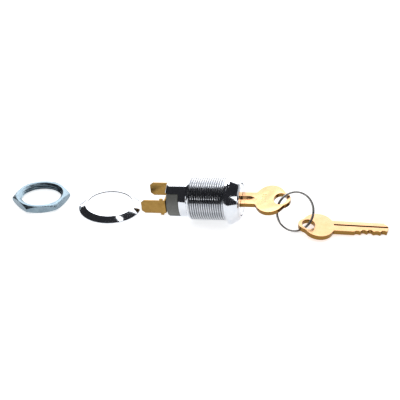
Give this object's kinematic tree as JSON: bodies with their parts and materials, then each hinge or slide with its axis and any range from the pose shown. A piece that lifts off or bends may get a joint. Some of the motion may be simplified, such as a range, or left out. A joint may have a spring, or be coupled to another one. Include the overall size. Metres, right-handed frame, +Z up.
{
  "type": "keyed switch lock kit",
  "caption": "Keyed two-position switch lock with inserted key, spare key on a split ring, loose hexagonal panel nut and loose conical trim ring.",
  "frame": {"origin": "centre of the kit's bounding box on the surface that it lies on", "axes": "+X along the lock's axis towards the keys as it lies, +Z up"},
  "size_m": [0.1714, 0.0286, 0.0224],
  "materials": {
    "chrome": "bright nickel-chrome plate on zinc",
    "zinc_plate": "blue-white zinc plate, turned",
    "tab_brass": "stamped strip, slightly dull",
    "key_brass": "tumbled pale brass",
    "ring_steel": "drawn nickel-plated wire",
    "spring_steel": "drawn wire and blanked clip",
    "insulator": "grey moulded phenolic",
    "black_moulding": "black moulded phenolic"
  },
  "bodies": {
    "lock_body": {"housing": "chrome", "terminal_block": "insulator", "terminal_near": "tab_brass", "terminal_far": "tab_brass", "rivet_near": "tab_brass", "rivet_far": "tab_brass"},
    "plug": {"plug": "chrome", "plug_clip": "spring_steel", "rotor": "black_moulding", "contact_bridge": "tab_brass", "contact_spring": "spring_steel", "wafer_spring_1": "spring_steel", "wafer_spring_2": "spring_steel", "wafer_spring_3": "spring_steel", "wafer_spring_4": "spring_steel", "wafer_spring_5": "spring_steel"},
    "wafer_1": {"wafer_1": "tab_brass"},
    "wafer_2": {"wafer_2": "tab_brass"},
    "wafer_3": {"wafer_3": "tab_brass"},
    "wafer_4": {"wafer_4": "tab_brass"},
    "wafer_5": {"wafer_5": "tab_brass"},
    "key": {"key": "key_brass"},
    "split_ring": {"split_ring": "ring_steel"},
    "spare_key": {"spare_key": "key_brass"},
    "lock_nut": {"lock_nut": "zinc_plate"},
    "trim_ring": {"trim_ring": "chrome"}
  },
  "joints": [
    {"name": "plug_turn", "type": "hinge", "parent": "lock_body", "child": "plug", "pos_m": [0.00849, 0.0002, 0.01044], "axis": [0.9952, 0, 0.0984], "range_deg": [0, 90]},
    {"name": "key_slide", "type": "slide", "parent": "plug", "child": "key", "axis": [0.9952, 0, 0.0984], "range_m": [0, 0.024]},
    {"name": "ring_swivel", "type": "hinge", "parent": "key", "child": "split_ring", "pos_m": [0.03813, -0.00045, 0.01385], "axis": [-0.4561, -0.6146, -0.6436], "range_deg": [0, 15]},
    {"name": "spare_key_swing", "type": "hinge", "parent": "split_ring", "child": "spare_key", "pos_m": [0.0447, 0.00037, 0.0084], "axis": [0.452, -0.783, 0.4274], "range_deg": [0, 40]},
    {"name": "nut_lift", "type": "slide", "parent": "lock_body", "child": "lock_nut", "axis": [0, 0, 1], "range_m": [0, 0.03]},
    {"name": "trim_ring_lift", "type": "slide", "parent": "lock_body", "child": "trim_ring", "axis": [0, 0, 1], "range_m": [0, 0.03]},
    {"name": "wafer_1_slide", "type": "slide", "parent": "plug", "child": "wafer_1", "axis": [-0.0154, 0.9877, 0.1557], "range_m": [0, 0.0008], "stiffness_N_per_m": 20, "springref_m": -0.001},
    {"name": "wafer_2_slide", "type": "slide", "parent": "plug", "child": "wafer_2", "axis": [-0.0154, 0.9877, 0.1557], "range_m": [0, 0.0008], "stiffness_N_per_m": 20, "springref_m": -0.001},
    {"name": "wafer_3_slide", "type": "slide", "parent": "plug", "child": "wafer_3", "axis": [-0.0154, 0.9877, 0.1557], "range_m": [0, 0.0008], "stiffness_N_per_m": 20, "springref_m": -0.001},
    {"name": "wafer_4_slide", "type": "slide", "parent": "plug", "child": "wafer_4", "axis": [-0.0154, 0.9877, 0.1557], "range_m": [0, 0.0008], "stiffness_N_per_m": 20, "springref_m": -0.001},
    {"name": "wafer_5_slide", "type": "slide", "parent": "plug", "child": "wafer_5", "axis": [-0.0154, 0.9877, 0.1557], "range_m": [0, 0.0008], "stiffness_N_per_m": 20, "springref_m": -0.001}
  ]
}
